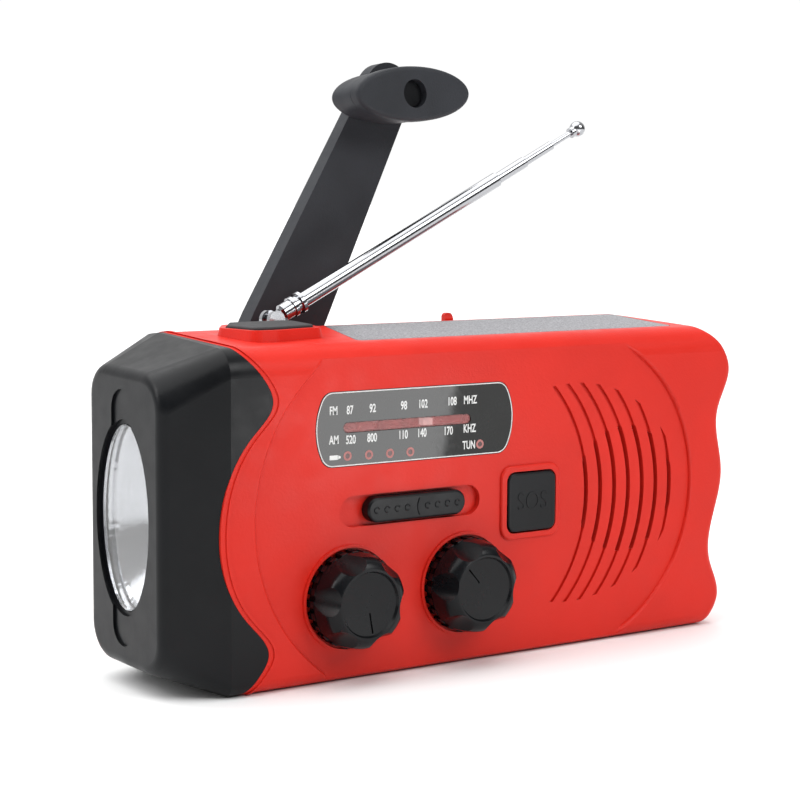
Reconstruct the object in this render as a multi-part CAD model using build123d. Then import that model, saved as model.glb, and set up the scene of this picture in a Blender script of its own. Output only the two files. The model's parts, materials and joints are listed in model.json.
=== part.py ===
from build123d import *
import os
from math import atan, cos, pi, radians, sin, sqrt, tan

# Emergency radio. Millimetres, +Z up, the face with the dial looks along -Y.
# The origin is the centre of the flat base.

# ---- driving dimensions ----
BODY_LEFT = -51.7  # ridge where the torch head starts to taper
HEAD_END = -63.7  # flat end face of the torch head
HEAD_EDGE = 2.0  # rounding of the end face
LENS = (0.3, 30.0)  # centre of the lens, y and z
LENS_HALF = (9.0, 16.3)
FRONT = -16.7  # front rim
PANEL = -16.0  # recessed front panel
STEP_EDGE = 0.6  # rounding of the step round the panel
REAR = 16.0
SPLIT = 12.0  # joint between the front and the rear shell
TOP_FRONT = 59.7
TOP_CREST = 61.2
CREST_Y = 9.3
TOP_REAR = 60.4
WALL = 2.0
INSIDE = PANEL + WALL  # inner face of the front wall
MID_Z = 29.5
FIT = 0.05  # radial clearance of a shaft
GAP = 0.3  # clearance round a button or cover
BEAD = 0.25  # height of the raised line beside the seam
SEAM_GAP = 0.08

WINDOW = (-12.9, 45.0)
WINDOW_STRAIGHT = 19.6
WINDOW_LENGTH = 21.6
WINDOW_CORNER = 2.6
WINDOW_HEIGHT = 6.7
SLOT_LEFT = -28.1
SLOT_RIGHT = -1.1
SLOT_Z = 45.2
SLOT_HEIGHT = 1.8
POINTER_X = -10.4

VOLUME = (-27.5, 14.8)
TUNING = (-2.4, 14.8)
KNOB_R = 8.7
KNOB_TOP = -23.2  # front of the cap
KNOB_STEP = -18.2  # where the cap meets the toothed skirt
KNOB_TEETH = 24
KNOB_SCOOPS = 6
SCOOP_R = 5.2
SCOOP_LEAN = 24.0
SHAFT_R = 3.0

BAND = (-13.5, 30.2)
SOS = (12.9, 28.8)
SPEAKER = (36.3, 29.3)
GRILLE_COUNT = 7
GRILLE_FIRST = 26.6
GRILLE_PITCH = 3.52
GRILLE_R = 30.0
BOARD_FRONT = -5.0
BOARD_REAR = -3.6

PLATFORM_TOP = 62.2
PAD_TOP = 62.7

ANTENNA_X, ANTENNA_Y, ANTENNA_Z = -26.5, 12.0, 62.5
ANTENNA_TILT = 26.8
FOOT_SEAT = ANTENNA_Z - 2.5
SECTION_ENDS = (58.2, 66.0, 73.7)  # where each tube ends, along the antenna
BALL_AT = 81.2
TUBE_RADII = (1.5, 1.15, 0.92)
ROD_R = 0.58
ANTENNA_PIN_R = 0.6

CRANK = (-27.3, 42.0)
CRANK_LEAN = 30.0
CRANK_BACK = 5.0
PIVOT_Y = 23.4
ARM_LENGTH = 72.4
ARM_WIDTH = 15.2  # at the hinge
ARM_TIP = 5.6  # radius of the rounded tip
ARM_FRONT = -2.5
ARM_REAR = 2.0
GRIP_HALF = (13.9, 5.4)
GRIP_DEPTH = 9.7
GRIP_TURN = -32.0
POCKET = (CRANK[0] + ARM_LENGTH, CRANK[1])
POCKET_FLOOR = 6.6
BUSH_R = 4.2
HUB_SHAFT_R = 2.6
HINGE_PIN_R = 1.0

CRANK_TEETH, IDLER_SMALL, IDLER_LARGE, ROTOR_TEETH = 48, 12, 40, 10
CRANK_MODULE = 0.5
ROTOR_MODULE = 0.4
MESH_PLAY = 0.06
IDLER_ANGLE = -20.0
AXLE_PLAY = 0.04  # added to each distance between meshing gears
IDLER_GAP = (CRANK_TEETH + IDLER_SMALL) * CRANK_MODULE / 2 + AXLE_PLAY
ROTOR_GAP = (IDLER_LARGE + ROTOR_TEETH) * ROTOR_MODULE / 2 + AXLE_PLAY
IDLER_X = CRANK[0] + IDLER_GAP * cos(radians(IDLER_ANGLE))
IDLER_Z = CRANK[1] + IDLER_GAP * sin(radians(IDLER_ANGLE))
IDLER = (IDLER_X, IDLER_Z)
ROTOR = (IDLER_X + ROTOR_GAP, IDLER_Z)
LARGE_GEAR_Y = (8.6, 10.6)  # front and rear of the idler's large gear
SMALL_GEAR_Y = (10.6, 13.0)  # and of its small gear
AXLE_R = 1.0
ROTOR_SHAFT_R = 0.75
CASE_R = 9.0
RACK_MODULE = 0.65
RACK_TEETH = 16
PRESSURE = radians(25)

PORT = (31.0, 12.0)
FLAP_HINGE = (15.75, 8.3)  # y and z of the port cover's hinge line
TUNER_SHAFT_R = 1.5
GRIP_PIN_R = 2.0
RACK_LINE = TUNING[1] + RACK_TEETH * RACK_MODULE / 2 + AXLE_PLAY
SLIDE_LOW = -16.0  # travel of the pointer from rest
SLIDE_HIGH = 7.6
RACK_Y = (-3.0, -1.6)  # front and rear of the rack and of its pinion


# ---- solids from flat outlines ----
def along_y(outline, front, rear):
    """Extrude an (x, z) outline between two depths."""
    plane = Plane(origin=(0, rear, 0), x_dir=(1, 0, 0), z_dir=(0, -1, 0))
    return extrude(plane * outline, amount=rear - front, dir=(0, -1, 0))


def end_plane(x):
    """A plane across the length at x, in which outlines are (y, z)."""
    return Plane(origin=(x, 0, 0), x_dir=(0, 1, 0), z_dir=(1, 0, 0))


def along_x(outline, left, right):
    return extrude(end_plane(left) * outline, amount=right - left, dir=(1, 0, 0))


def along_z(outline, low, high):
    return extrude(Plane.XY.offset(low) * outline, amount=high - low, dir=(0, 0, 1))


def disc(centre, radius, front, rear):
    """A round solid whose axis runs along Y."""
    return along_y(Pos(*centre) * Circle(radius), front, rear)


def ring(centre, outer, inner, front, rear):
    return along_y(Pos(*centre) * (Circle(outer) - Circle(inner)), front, rear)


def post(centre, radius, low, high):
    """A round solid whose axis runs along Z."""
    return along_z(Pos(*centre) * Circle(radius), low, high)


def block(low, high):
    size = [b - a for a, b in zip(low, high)]
    middle = [(b + a) / 2 for a, b in zip(low, high)]
    return Pos(*middle) * Box(*size)


def rounded_polygon(corners, radius):
    outline = Polygon(*corners, align=None)
    return fillet(outline.vertices(), radius)


def stadium(centre, length, height):
    return Pos(*centre) * SlotOverall(length, height)


# ---- outer form ----
def cross_section(front, rear, low, heights, radii):
    """A (y, z) outline with a sloping top: heights at the front, at the crest and at the rear."""
    crest_y = min(CREST_Y, rear - 6)
    top = [(rear, heights[2]), (crest_y, heights[1]), (front, heights[0])]
    shape = Polygon((front, low), (rear, low), *top, align=None)
    middle = low + 10
    shape = fillet([v for v in shape.vertices() if v.X < front + 1 and v.Y > middle], radii[0])
    shape = fillet([v for v in shape.vertices() if v.X > rear - 1 and v.Y > middle], radii[1])
    return fillet([v for v in shape.vertices() if v.Y < low + 0.5], radii[2])


def section(inset=0.0):
    shape = cross_section(FRONT, REAR, 0, (TOP_FRONT, TOP_CREST, TOP_REAR), (5.0, 4.0, 2.5))
    return offset(shape, -inset) if inset else shape


def seam(shift=0.0):
    """The wavy line between the torch head and the red casing, in (x, z)."""
    points = [(-51.6, 62.5), (-46.6, 56.4), (-43.4, 50.2), (-47.6, 44.7), (-53.7, 29.5)]
    points += [(-48.6, 13.0), (-44.3, 6.7), (-47.2, 2.0), (-51.6, -3.0)]
    return Spline(*[(x + shift, z) for x, z in points])


def right_end(shift=0.0):
    """The wavy right-hand end of the casing, from the top down."""
    points = [(52.0, 61.6), (58.0, 59.0), (61.7, 55.7), (63.4, 51.7), (60.5, 43.0)]
    points += [(61.9, 31.0), (59.2, 13.5), (61.6, 5.9), (58.0, 0.3), (53.0, -1.0)]
    return Spline(*[(x + shift, z) for x, z in points])


def between(left, right):
    top = Line(left @ 0, right @ 0)
    bottom = Line(left @ 1, right @ 1)
    return make_face([left, top, right, bottom])


def casing(inset=0.0, edge=0.0):
    """The red casing as one solid, shrunk by inset; edge rounds the rims of the right-hand end."""
    outline = between(seam(inset), right_end(-inset))
    body = along_y(outline, FRONT + inset, REAR - inset) & along_x(section(inset), -60, 70)
    rims = [e for e in body.edges() if e.center().X > 55 and abs(e.center().Y) > 15.5]
    rims = [e for e in rims if e.length > 20]
    return fillet(rims, edge) if edge else body


def seam_bead():
    """A thin raised line that follows the seam all round the casing."""
    strip = along_y(between(seam(1.0), seam(1.7)), FRONT - 2, REAR + 2)
    return strip & (along_x(section(-BEAD), -60, -35) - along_x(section(0.5), -61, -34))


def top_layer(low, high):
    """A slab that lies along the sloping top, between two heights over it."""
    slope = (TOP_CREST - TOP_FRONT) / (CREST_Y - FRONT)
    rise = slope * (REAR - FRONT)
    corners = [(FRONT, low), (REAR, low + rise), (REAR, high + rise), (FRONT, high)]
    outline = Polygon(*[(y, z + TOP_FRONT) for y, z in corners], align=None)
    return along_x(outline, -70, 70)


# ---- outlines of what sits in the face and the top ----
def dial_outline(grow=0.0):
    straight, length, height = WINDOW_STRAIGHT, WINDOW_LENGTH, WINDOW_HEIGHT
    right = ThreePointArc((straight, height), (length, 0), (straight, -height))
    left = ThreePointArc((-straight, height), (-length, 0), (-straight, -height))
    top = Line((-straight, height), (straight, height))
    bottom = Line((-straight, -height), (straight, -height))
    outline = make_face([right, top, left, bottom])
    outline = fillet(outline.vertices(), WINDOW_CORNER)
    return Pos(*WINDOW) * (offset(outline, grow) if grow else outline)


def sos_outline(width, radius):
    return Pos(*SOS) * RectangleRounded(width, width, radius)


def solar_outline():
    return rounded_polygon([(-22.8, -11.3), (52.3, -11.0), (53.3, 9.0), (-17.0, 9.0)], 1.2)


def pad_outline(grow=0.0):
    corners = [(-42.2, 1.5), (-41.0, -6.6), (-37.8, -7.0), (-27.8, -4.7), (-25.7, 5.2)]
    corners += [(-27.2, 7.6), (-38.5, 7.2)]
    outline = rounded_polygon(corners, 1.0)
    return offset(outline, grow) if grow else outline


def grip_pocket_outline(grow=0.0):
    across, along = GRIP_HALF[1] + 0.8 + grow, GRIP_HALF[0] + 0.8 + grow
    return Pos(*POCKET) * Ellipse(across, along)


def port_outline(grow=0.0):
    return Pos(*PORT) * RectangleRounded(15.0 + 2 * grow, 8.0 + 2 * grow, 1.5)


def screw_places():
    return [(-34.0, 5.8), (53.5, 6.5), (55.0, 53.5), (8.5, 54.0)]


# ---- casing ----
def panel_recess():
    """The sunk middle of the face, bounded by an arc on the left and one on the right."""
    left = Pos(-12.7, MID_Z) * Circle(34.0)
    right = Pos(22.3, MID_Z) * Circle(30.5)
    middle = Pos(5.0, MID_Z) * Rectangle(35.0, 80.0)
    return along_y(left + right + middle, FRONT - 1, PANEL)


def grille():
    """Seven arcs around the speaker, cut through where the speaker is."""
    lens = Pos(23.3, MID_Z) * Ellipse(26.0, 21.0)
    through = Pos(*SPEAKER) * Circle(12.3)
    cuts = []
    for n in range(GRILLE_COUNT):
        middle = GRILLE_FIRST + GRILLE_PITCH * n
        centre = Pos(middle - GRILLE_R, MID_Z)
        ahead = Pos(middle, MID_Z) * Rectangle(GRILLE_R, 60)
        groove = centre * (Circle(GRILLE_R + 0.35) - Circle(GRILLE_R - 0.35))
        slot = centre * (Circle(GRILLE_R + 0.5) - Circle(GRILLE_R - 0.5))
        cuts.append(along_y(groove & lens & ahead, PANEL - 1, PANEL + 0.6))
        cuts.append(along_y(slot & through & ahead, PANEL - 1, PANEL + 4))
    return cuts


def platform():
    """The raised step that carries the rubber pad."""
    low = Plane.XY.offset(57) * pad_outline(2.4)
    high = Plane.XY.offset(PLATFORM_TOP) * pad_outline(1.3)
    return loft([low, high]) & block((-60, -20, 57), (0, SPLIT, 70))


def antenna_trough():
    """The shallow trough in the top for the folded antenna, with a flat for its foot."""
    run = along_x(Pos(ANTENNA_Y, ANTENNA_Z) * Circle(2.4), ANTENNA_X, 50.0)
    return run + post((ANTENNA_X, ANTENNA_Y), 4.0, FOOT_SEAT, 70)


def knob_seat(shell, place):
    """A low round lip, a shallow well and the hole for the shaft."""
    shell += ring(place, 9.6, 9.1, PANEL - 0.5, PANEL + 1)
    shell -= disc(place, 9.1, PANEL - 1, PANEL + 0.4)
    return shell - disc(place, SHAFT_R + 0.3, PANEL - 1, -12)


def front_shell():
    shell = casing(edge=1.6) + seam_bead()
    shell -= panel_recess()
    step = [e for e in shell.edges() if abs(e.center().Y - FRONT) < 0.01 and e.length > 30]
    shell = fillet([e for e in step if e.geom_type == GeomType.CIRCLE], STEP_EDGE)
    shell += platform()
    shell &= block((-70, -20, 0), (70, SPLIT, 70))
    shell -= casing(WALL)
    for place in screw_places():
        shell += disc(place, 2.8, INSIDE - 0.8, SPLIT - 0.02)
        shell -= disc(place, 0.9, 0, SPLIT + 1)
    for place in (VOLUME, TUNING):
        shell = knob_seat(shell, place)
    rim = along_y(sos_outline(14.0, 2.4), PANEL - 0.6, PANEL + 1)
    shell += fillet(rim.edges().group_by(Axis.Y)[0], 0.45)
    shell -= along_y(sos_outline(11.6, 1.8), PANEL - 1, -12)
    shell -= along_y(stadium((BAND[0] - 0.6, BAND[1]), 30.6, 5.6), PANEL - 1, PANEL + 1.1)
    shell -= along_y(stadium(BAND, 11.0, 2.6), PANEL - 1, -12)
    shell -= along_y(dial_outline(), PANEL - 1, PANEL + 1.1)
    shell -= along_y(dial_outline(-1.2), PANEL - 1, -12)
    for cut in grille():
        shell -= cut
    shell -= top_layer(-1.3, 5) & along_z(solar_outline(), 50, 70)
    shell -= along_z(offset(solar_outline(), -4), 57, 70)
    shell -= along_z(pad_outline(0.25), 56, 70)
    shell -= along_x(lens_outline(1.8), -60, -45)
    shell -= antenna_trough()
    return shell - post((ANTENNA_X, ANTENNA_Y), 1.3, 50, 70)


def clip_nub():
    """A small nub that keeps the folded antenna from rolling off the top."""
    nub = block((14.6, 14.0, 57.5), (16.6, 15.3, 62.3))
    return fillet(nub.edges().filter_by(Axis.Y).group_by(Axis.Z)[-1], 0.8)


def rear_shell():
    shell = casing(edge=1.6) + seam_bead()
    shell &= block((-70, SPLIT, 0), (70, 20, 70))
    shell -= casing(WALL)
    shell += disc(CRANK, 11.6, REAR - 1.0, 18.0)
    shell -= disc(CRANK, BUSH_R, 10, 20)
    shell += along_y(grip_pocket_outline(1.4), POCKET_FLOOR - 1.4, REAR - 1)
    shell -= along_y(grip_pocket_outline(), POCKET_FLOOR, 20)
    shell -= along_y(port_outline(), REAR - 1.1, 20)
    shell -= along_y(port_outline(-1.5), 10, 20)
    for place in screw_places():
        shell -= disc(place, 1.4, 10, 20)
        shell -= disc(place, 2.6, REAR - 1.2, 20)
    shell += clip_nub()
    shell -= antenna_trough()
    return shell - post((ANTENNA_X, ANTENNA_Y), 1.3, 50, 70)


# ---- torch head ----
def head_taper(inset=0.0):
    near = end_plane(BODY_LEFT) * section(inset)
    shape = cross_section(-13.8, 13.0, 4.3, (55.4, 55.8, 55.5), (7.0, 6.0, 7.0))
    far = end_plane(HEAD_END + inset) * (offset(shape, -inset) if inset else shape)
    return loft([far, near], ruled=True)


def seam_blank():
    """Everything to the left of the seam, less a hairline gap."""
    curve = seam(-SEAM_GAP)
    edge = Polyline(curve @ 0, (-80, 62.5), (-80, -3.0), curve @ 1)
    return along_y(make_face([curve, *edge.edges()]), -30, 30)


def lens_outline(grow=0.0):
    """The oval of the lens in (y, z) on the end face."""
    return Pos(*LENS) * Ellipse(LENS_HALF[0] + grow, LENS_HALF[1] + grow)


def torch_head():
    solid = head_taper() + along_x(section(), BODY_LEFT, -40)
    solid = fillet([e for e in solid.edges() if e.center().X < HEAD_END + 0.1], HEAD_EDGE)
    inner = head_taper(2.2) + along_x(section(2.2), BODY_LEFT, -39)
    head = (solid - inner) & seam_blank()
    head -= along_x(lens_outline(0.9), HEAD_END - 1, HEAD_END + 0.95)
    slot = Pos(*LENS) * Rot(0, 0, 90) * SlotOverall(45.0, 7.6)
    head -= along_x(slot, HEAD_END - 1, HEAD_END + 0.45)
    return head - along_x(lens_outline(0.15), HEAD_END - 1, HEAD_END + 5)


def lens():
    plate = along_x(lens_outline(), HEAD_END + 0.9, HEAD_END + 2.2)
    rim = along_x(lens_outline(1.6), HEAD_END + 2.25, HEAD_END + 3.0)
    return plate + along_x(lens_outline(), HEAD_END + 2.2, HEAD_END + 2.3) + rim


def reflector():
    """An oval bowl behind the lens, open at its small end for the LED."""
    mouth, throat = HEAD_END + 3.05, HEAD_END + 13.0
    small = Pos(*LENS) * Ellipse(2.6, 4.2)
    small_hole = Pos(*LENS) * Ellipse(1.9, 3.5)
    outer = loft([end_plane(mouth) * lens_outline(1.2), end_plane(throat) * small])
    inner = loft([end_plane(mouth) * lens_outline(0.4), end_plane(throat) * small_hole])
    return outer - inner


def led_board():
    low = (HEAD_END + 13.05, LENS[0] - 7, LENS[1] - 8)
    return block(low, (HEAD_END + 14.45, LENS[0] + 7, LENS[1] + 8))


def torch_led():
    seat = HEAD_END + 12.2
    dome = Pos(seat, *LENS) * Sphere(1.4)
    base = along_x(Pos(*LENS) * Rectangle(3.0, 3.0), seat, HEAD_END + 13.05)
    return (dome & block((-60, -5, 20), (seat, 5, 40))) + base


# ---- solar panel and torch button ----
def solar_cells():
    outline = offset(solar_outline(), -0.15)
    return top_layer(-1.25, -0.75) & along_z(outline, 50, 70)


def solar_glass():
    outline = offset(solar_outline(), -0.15)
    return top_layer(-0.73, 0.0) & along_z(outline, 50, 70)


def torch_button():
    pad = along_z(pad_outline(), 59.6, PAD_TOP)
    pad = fillet(pad.edges().group_by(Axis.Z)[-1], 0.35)
    flange = along_z(pad_outline(0.9), 56.2, 57.0) & casing(WALL + 0.2)
    stem = along_z(pad_outline(-1.5), 56.2, 60.0)
    return pad + stem + flange


def torch_switch():
    body = block((-37.0, -2.6, 50.4), (-31.0, 3.4, 54.0))
    return body + post((-34.0, 0.4), 1.6, 54.0, 54.9)


def torch_switch_board():
    return block((-39.5, -7.0, 49.0), (-29.0, 7.0, 50.35))


# ---- dial ----
def dial_window():
    return along_y(dial_outline(-0.12), PANEL - 0.05, PANEL + 1.05)


def dial_plate():
    """The printed plate behind the window, with the slot for the pointer."""
    outline = Pos(WINDOW[0], WINDOW[1] + 0.3) * Rectangle(41.4, 11.8)
    middle = ((SLOT_LEFT + SLOT_RIGHT) / 2, SLOT_Z)
    slot = stadium(middle, SLOT_RIGHT - SLOT_LEFT, SLOT_HEIGHT)
    return along_y(outline - slot, INSIDE + 0.05, INSIDE + 0.85)


def involute_flank(teeth, module):
    """The root radius, and half the angle of a tooth at five radii up its flank."""
    pitch = teeth * module / 2
    base = pitch * cos(PRESSURE)
    root = pitch - 1.15 * module
    tip = pitch + 0.9 * module
    low = max(base, root)
    half_at_pitch = pi / teeth / 2 - MESH_PLAY / 2 / pitch
    spread = tan(PRESSURE) - PRESSURE
    flank = []
    for n in range(5):
        radius = low + (tip - low) * n / 4
        roll = sqrt(max((radius / base) ** 2 - 1, 0))
        flank.append((radius, half_at_pitch + spread - (roll - atan(roll))))
    return root, flank


def gear_outline(teeth, module, phase):
    """An involute spur gear with a tooth at the phase angle, in degrees from +X towards +Z."""
    root, flank = involute_flank(teeth, module)
    foot = flank[0][1]
    rising = [(root, -foot)] + [(r, -half) for r, half in flank]
    falling = [(r, half) for r, half in reversed(flank)] + [(root, foot)]
    points = []
    for n in range(teeth):
        centre = radians(phase) + 2 * pi * n / teeth
        points += [(r * cos(centre + a), r * sin(centre + a)) for r, a in rising + falling]
    return Polygon(*points, align=None)


def gear(centre, teeth, module, phase, front, rear, bore):
    outline = gear_outline(teeth, module, phase) - Circle(bore)
    return along_y(Pos(*centre) * outline, front, rear)


def tuning_pinion():
    return gear(TUNING, RACK_TEETH, RACK_MODULE, 90.0, *RACK_Y, TUNER_SHAFT_R + FIT)


def rack_teeth():
    """The lower edge of the rack from left to right, with a gap over the pinion's top tooth."""
    pitch = pi * RACK_MODULE
    half = pitch / 4 - MESH_PLAY / 2
    tip, root = 0.9 * RACK_MODULE, 1.15 * RACK_MODULE
    left = TUNING[0] - SLIDE_HIGH - 4.0
    right = TUNING[0] - SLIDE_LOW + 4.0
    first = int((left - TUNING[0]) / pitch)
    last = int((right - TUNING[0]) / pitch) - 1
    points = [(left, RACK_LINE + root)]
    for n in range(first, last + 1):
        middle = TUNING[0] + (n + 0.5) * pitch
        wide, narrow = half + root * tan(PRESSURE), half - tip * tan(PRESSURE)
        points.append((middle - wide, RACK_LINE + root))
        points.append((middle - narrow, RACK_LINE - tip))
        points.append((middle + narrow, RACK_LINE - tip))
        points.append((middle + wide, RACK_LINE + root))
    points.append((right, RACK_LINE + root))
    return points


def dial_pointer():
    """A toothed bar above the tuning pinion, with an arm up to the pointer in the dial slot."""
    teeth = rack_teeth()
    top = RACK_LINE + 3.0
    bar = along_y(Polygon(*teeth, (teeth[-1][0], top), (teeth[0][0], top), align=None), *RACK_Y)
    left, right = POINTER_X - 1.5, POINTER_X + 1.5
    mast = block((left, RACK_Y[0], top - 1.0), (right, RACK_Y[1], 44.0))
    shelf = block((left, -12.9, 42.5), (right, RACK_Y[1], 44.0))
    finger = block((POINTER_X - 1.2, -12.9, 42.5), (POINTER_X + 1.2, -12.0, SLOT_Z + 0.7))
    tip = block((POINTER_X - 1.2, -14.4, SLOT_Z - 0.7), (POINTER_X + 1.2, -12.0, SLOT_Z + 0.7))
    return bar + mast + shelf + finger + tip


def dial_leds():
    """Five small indicator LEDs on the dial plate."""
    places = [(-27.6, 41.2), (-23.2, 41.2), (-18.8, 41.2), (-14.4, 41.2), (1.2, 41.2)]
    return [disc(place, 0.9, INSIDE + 0.9, INSIDE + 2.4) for place in places]


# ---- knobs ----
def knob_skirt(place):
    """A round skirt with square teeth, under the overhang of the cap."""
    skirt = Circle(KNOB_R - 0.6)
    for n in range(KNOB_TEETH):
        tooth = Pos(KNOB_R - 0.5, 0) * Rectangle(1.0, 1.2)
        skirt += Rot(0, 0, 360 / KNOB_TEETH * n) * tooth
    return along_y(Pos(*place) * skirt, KNOB_STEP, PANEL + 0.1)


def knob_cap():
    """The turned cap about the Y axis: steep side, round shoulder and a dished face."""
    shoulder = KNOB_TOP + 2.1
    side = Line((KNOB_R - 0.1, KNOB_STEP), (KNOB_R - 0.5, shoulder))
    round_edge = Spline((KNOB_R - 0.5, shoulder), (7.5, KNOB_TOP + 0.7), (6.3, KNOB_TOP))
    lip = Polyline((6.3, KNOB_TOP), (5.9, KNOB_TOP), (5.6, KNOB_TOP + 0.5))
    dish = ThreePointArc((5.6, KNOB_TOP + 0.5), (3.0, KNOB_TOP + 0.68), (0, KNOB_TOP + 0.75))
    core = Polyline((0, KNOB_TOP + 0.75), (0, KNOB_STEP), (KNOB_R - 0.1, KNOB_STEP))
    profile = make_face([side, round_edge, *lip.edges(), dish, *core.edges()])
    return revolve(profile, Axis.Y)


def knob(place, mark_angle):
    """A knob with a toothed skirt, six scoops round the cap and a mark in its dish."""
    cap = knob_cap()
    scoop = Pos(SCOOP_R + 6.7, KNOB_TOP, 0) * Rot(0, 0, -SCOOP_LEAN) * Rot(90, 0, 0)
    for n in range(KNOB_SCOOPS):
        cap -= Rot(0, 360 / KNOB_SCOOPS * n + 8, 0) * scoop * Cylinder(SCOOP_R, 14)
    cap -= Rot(0, mark_angle, 0) * block((-0.16, KNOB_TOP, 1.6), (0.16, KNOB_TOP + 1.0, 5.3))
    body = knob_skirt(place) + Pos(place[0], 0, place[1]) * cap
    return body - disc(place, SHAFT_R - 0.1, PANEL - 3.5, 0)


def control_shaft(place, rear, thin):
    """The shaft of a control, thinner inside the casing."""
    return disc(place, SHAFT_R - 0.15, PANEL - 3.4, INSIDE) + disc(place, thin, INSIDE, rear)


def control_body(place, width, front):
    outline = Pos(*place) * (RectangleRounded(width, width, 1.0) - Circle(TUNER_SHAFT_R + FIT))
    return along_y(outline, front, BOARD_FRONT - 0.02)


# ---- band slider and SOS button ----
def band_slider():
    cap = along_y(stadium(BAND, 21.4, 4.6), PANEL - 1.2, PANEL + 0.9)
    cap = fillet(cap.edges().group_by(Axis.Y)[0], 0.5)
    stem = block((BAND[0] - 1.4, PANEL, BAND[1] - 0.9), (BAND[0] + 1.4, -11.6, BAND[1] + 0.9))
    return cap + stem


def band_switch():
    low = (BAND[0] - 6.5, -11.0, BAND[1] - 2.2)
    return block(low, (BAND[0] + 6.5, BOARD_FRONT - 0.02, BAND[1] + 2.2))


def sos_button():
    cap = along_y(sos_outline(11.1, 1.5), PANEL - 0.9, INSIDE + 0.2)
    cap = fillet(cap.edges().group_by(Axis.Y)[0], 0.4)
    flange = along_y(sos_outline(13.0, 1.5), INSIDE + 0.2, INSIDE + 1.0)
    return cap + flange + disc(SOS, 1.6, INSIDE + 1.0, -10.6)


def sos_switch():
    body = block((SOS[0] - 3, -8.4, SOS[1] - 3), (SOS[0] + 3, BOARD_FRONT - 0.02, SOS[1] + 3))
    return body + disc(SOS, 1.5, -9.2, -8.4)


# ---- speaker ----
def speaker_frame():
    """A pressed basket: a flat flange, a sloping wall and a rear plate with a hole."""
    flange = ring(SPEAKER, 13.8, 11.6, INSIDE + 0.05, INSIDE + 1.2)
    near = Plane(origin=(SPEAKER[0], INSIDE + 1.2, SPEAKER[1]), x_dir=(1, 0, 0), z_dir=(0, 1, 0))
    far = Plane(origin=(SPEAKER[0], INSIDE + 5.2, SPEAKER[1]), x_dir=(1, 0, 0), z_dir=(0, 1, 0))
    wall = loft([near * Circle(12.6), far * Circle(8.6)]) - loft([near * Circle(11.8), far * Circle(7.8)])
    back = ring(SPEAKER, 8.6, 3.0, INSIDE + 5.2, INSIDE + 6.0)
    return flange + wall + back


def speaker_cone():
    near = Plane(origin=(SPEAKER[0], INSIDE + 1.2, SPEAKER[1]), x_dir=(1, 0, 0), z_dir=(0, 1, 0))
    far = Plane(origin=(SPEAKER[0], INSIDE + 4.8, SPEAKER[1]), x_dir=(1, 0, 0), z_dir=(0, 1, 0))
    outer = loft([near * Circle(11.4), far * Circle(3.2)])
    inner = loft([near * Circle(10.9), far * Circle(2.7)])
    cap = disc(SPEAKER, 3.2, INSIDE + 4.4, INSIDE + 4.8)
    coil = ring(SPEAKER, 2.6, 2.3, INSIDE + 4.8, INSIDE + 7.4)
    return (outer - inner) + cap + coil


def speaker_magnet():
    magnet = ring(SPEAKER, 7.8, 2.9, INSIDE + 6.02, INSIDE + 9.0)
    return magnet + disc(SPEAKER, 7.8, INSIDE + 9.0, INSIDE + 9.6)


# ---- boards, cell and radio parts ----
def main_board():
    board = block((-36.0, BOARD_FRONT, 4.5), (20.5, BOARD_REAR, 36.5))
    for place in (VOLUME, TUNING):
        board -= disc(place, 2.4, BOARD_FRONT - 1, BOARD_REAR + 1)
    return board - disc(screw_places()[0], 3.3, -10, 0)


def board_screw_places():
    return [(-33.0, 33.0), (17.5, 7.5), (-15.0, 7.0), (3.0, 33.5)]


def battery_cell():
    body = along_x(Pos(6.3, 10.3) * Circle(7.1), -29.0, 20.0)
    return body + along_x(Pos(6.3, 10.3) * Circle(2.8), 20.0, 21.0)


def battery_holder():
    """Two end walls and a floor that hold the cell."""
    ends = block((-31.0, -0.6, 2.3), (-29.1, 13.4, 15.0)) + block((21.1, -0.6, 2.3), (23.0, 13.4, 15.0))
    return ends + block((-31.0, -0.6, 2.1), (23.0, 13.4, 3.1))


def ferrite_rod():
    return along_x(Pos(1.0, 53.0) * Circle(3.5), 12.5, 50.0)


def ferrite_coil():
    return along_x(Pos(1.0, 53.0) * (Circle(4.4) - Circle(3.55)), 18.0, 30.0)


def usb_socket():
    shell = Pos(*PORT) * (RectangleRounded(9.0, 4.2, 1.0) - RectangleRounded(7.6, 2.8, 0.6))
    tongue = Pos(*PORT) * Rectangle(5.0, 0.7)
    back = Pos(*PORT) * RectangleRounded(9.0, 4.2, 1.0)
    return along_y(shell, 8.6, 14.4) + along_y(back, 7.8, 8.6) + along_y(tongue, 8.6, 13.0)


# ---- crank ----
def hub_place(local):
    """Turn a solid drawn with the arm along +Z and its face towards -Y into the arm's rest pose."""
    return Pos(CRANK[0], PIVOT_Y, CRANK[1]) * Rot(0, CRANK_LEAN, 0) * Rot(-CRANK_BACK, 0, 0) * local


def crank_bush():
    flange = ring(CRANK, BUSH_R + 1.2, HUB_SHAFT_R + FIT, 13.5, 14.0 - 0.02)
    return ring(CRANK, BUSH_R - 0.02, HUB_SHAFT_R + FIT, 13.98, 18.0) + flange


def crank_hub():
    """A round base with two cheeks that hold the hinge pin of the arm."""
    base = disc(CRANK, 11.2, 18.3, 20.2)
    base = fillet(base.edges().group_by(Axis.Y)[-1], 0.5)
    shaft = disc(CRANK, HUB_SHAFT_R, 10.4, 18.4)
    half = ARM_WIDTH / 2 + GAP
    hub = base + shaft
    for side in (-1, 1):
        low, high = sorted((side * half, side * (half + 2.0)))
        web = block((low, -4.0, -4.6), (high, 0, 4.6)) + along_x(Circle(2.9), low, high)
        hub += Pos(CRANK[0], PIVOT_Y, CRANK[1]) * Rot(0, CRANK_LEAN, 0) * web
    return hub - hinge_pin_solid(HINGE_PIN_R + 0.02)


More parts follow.
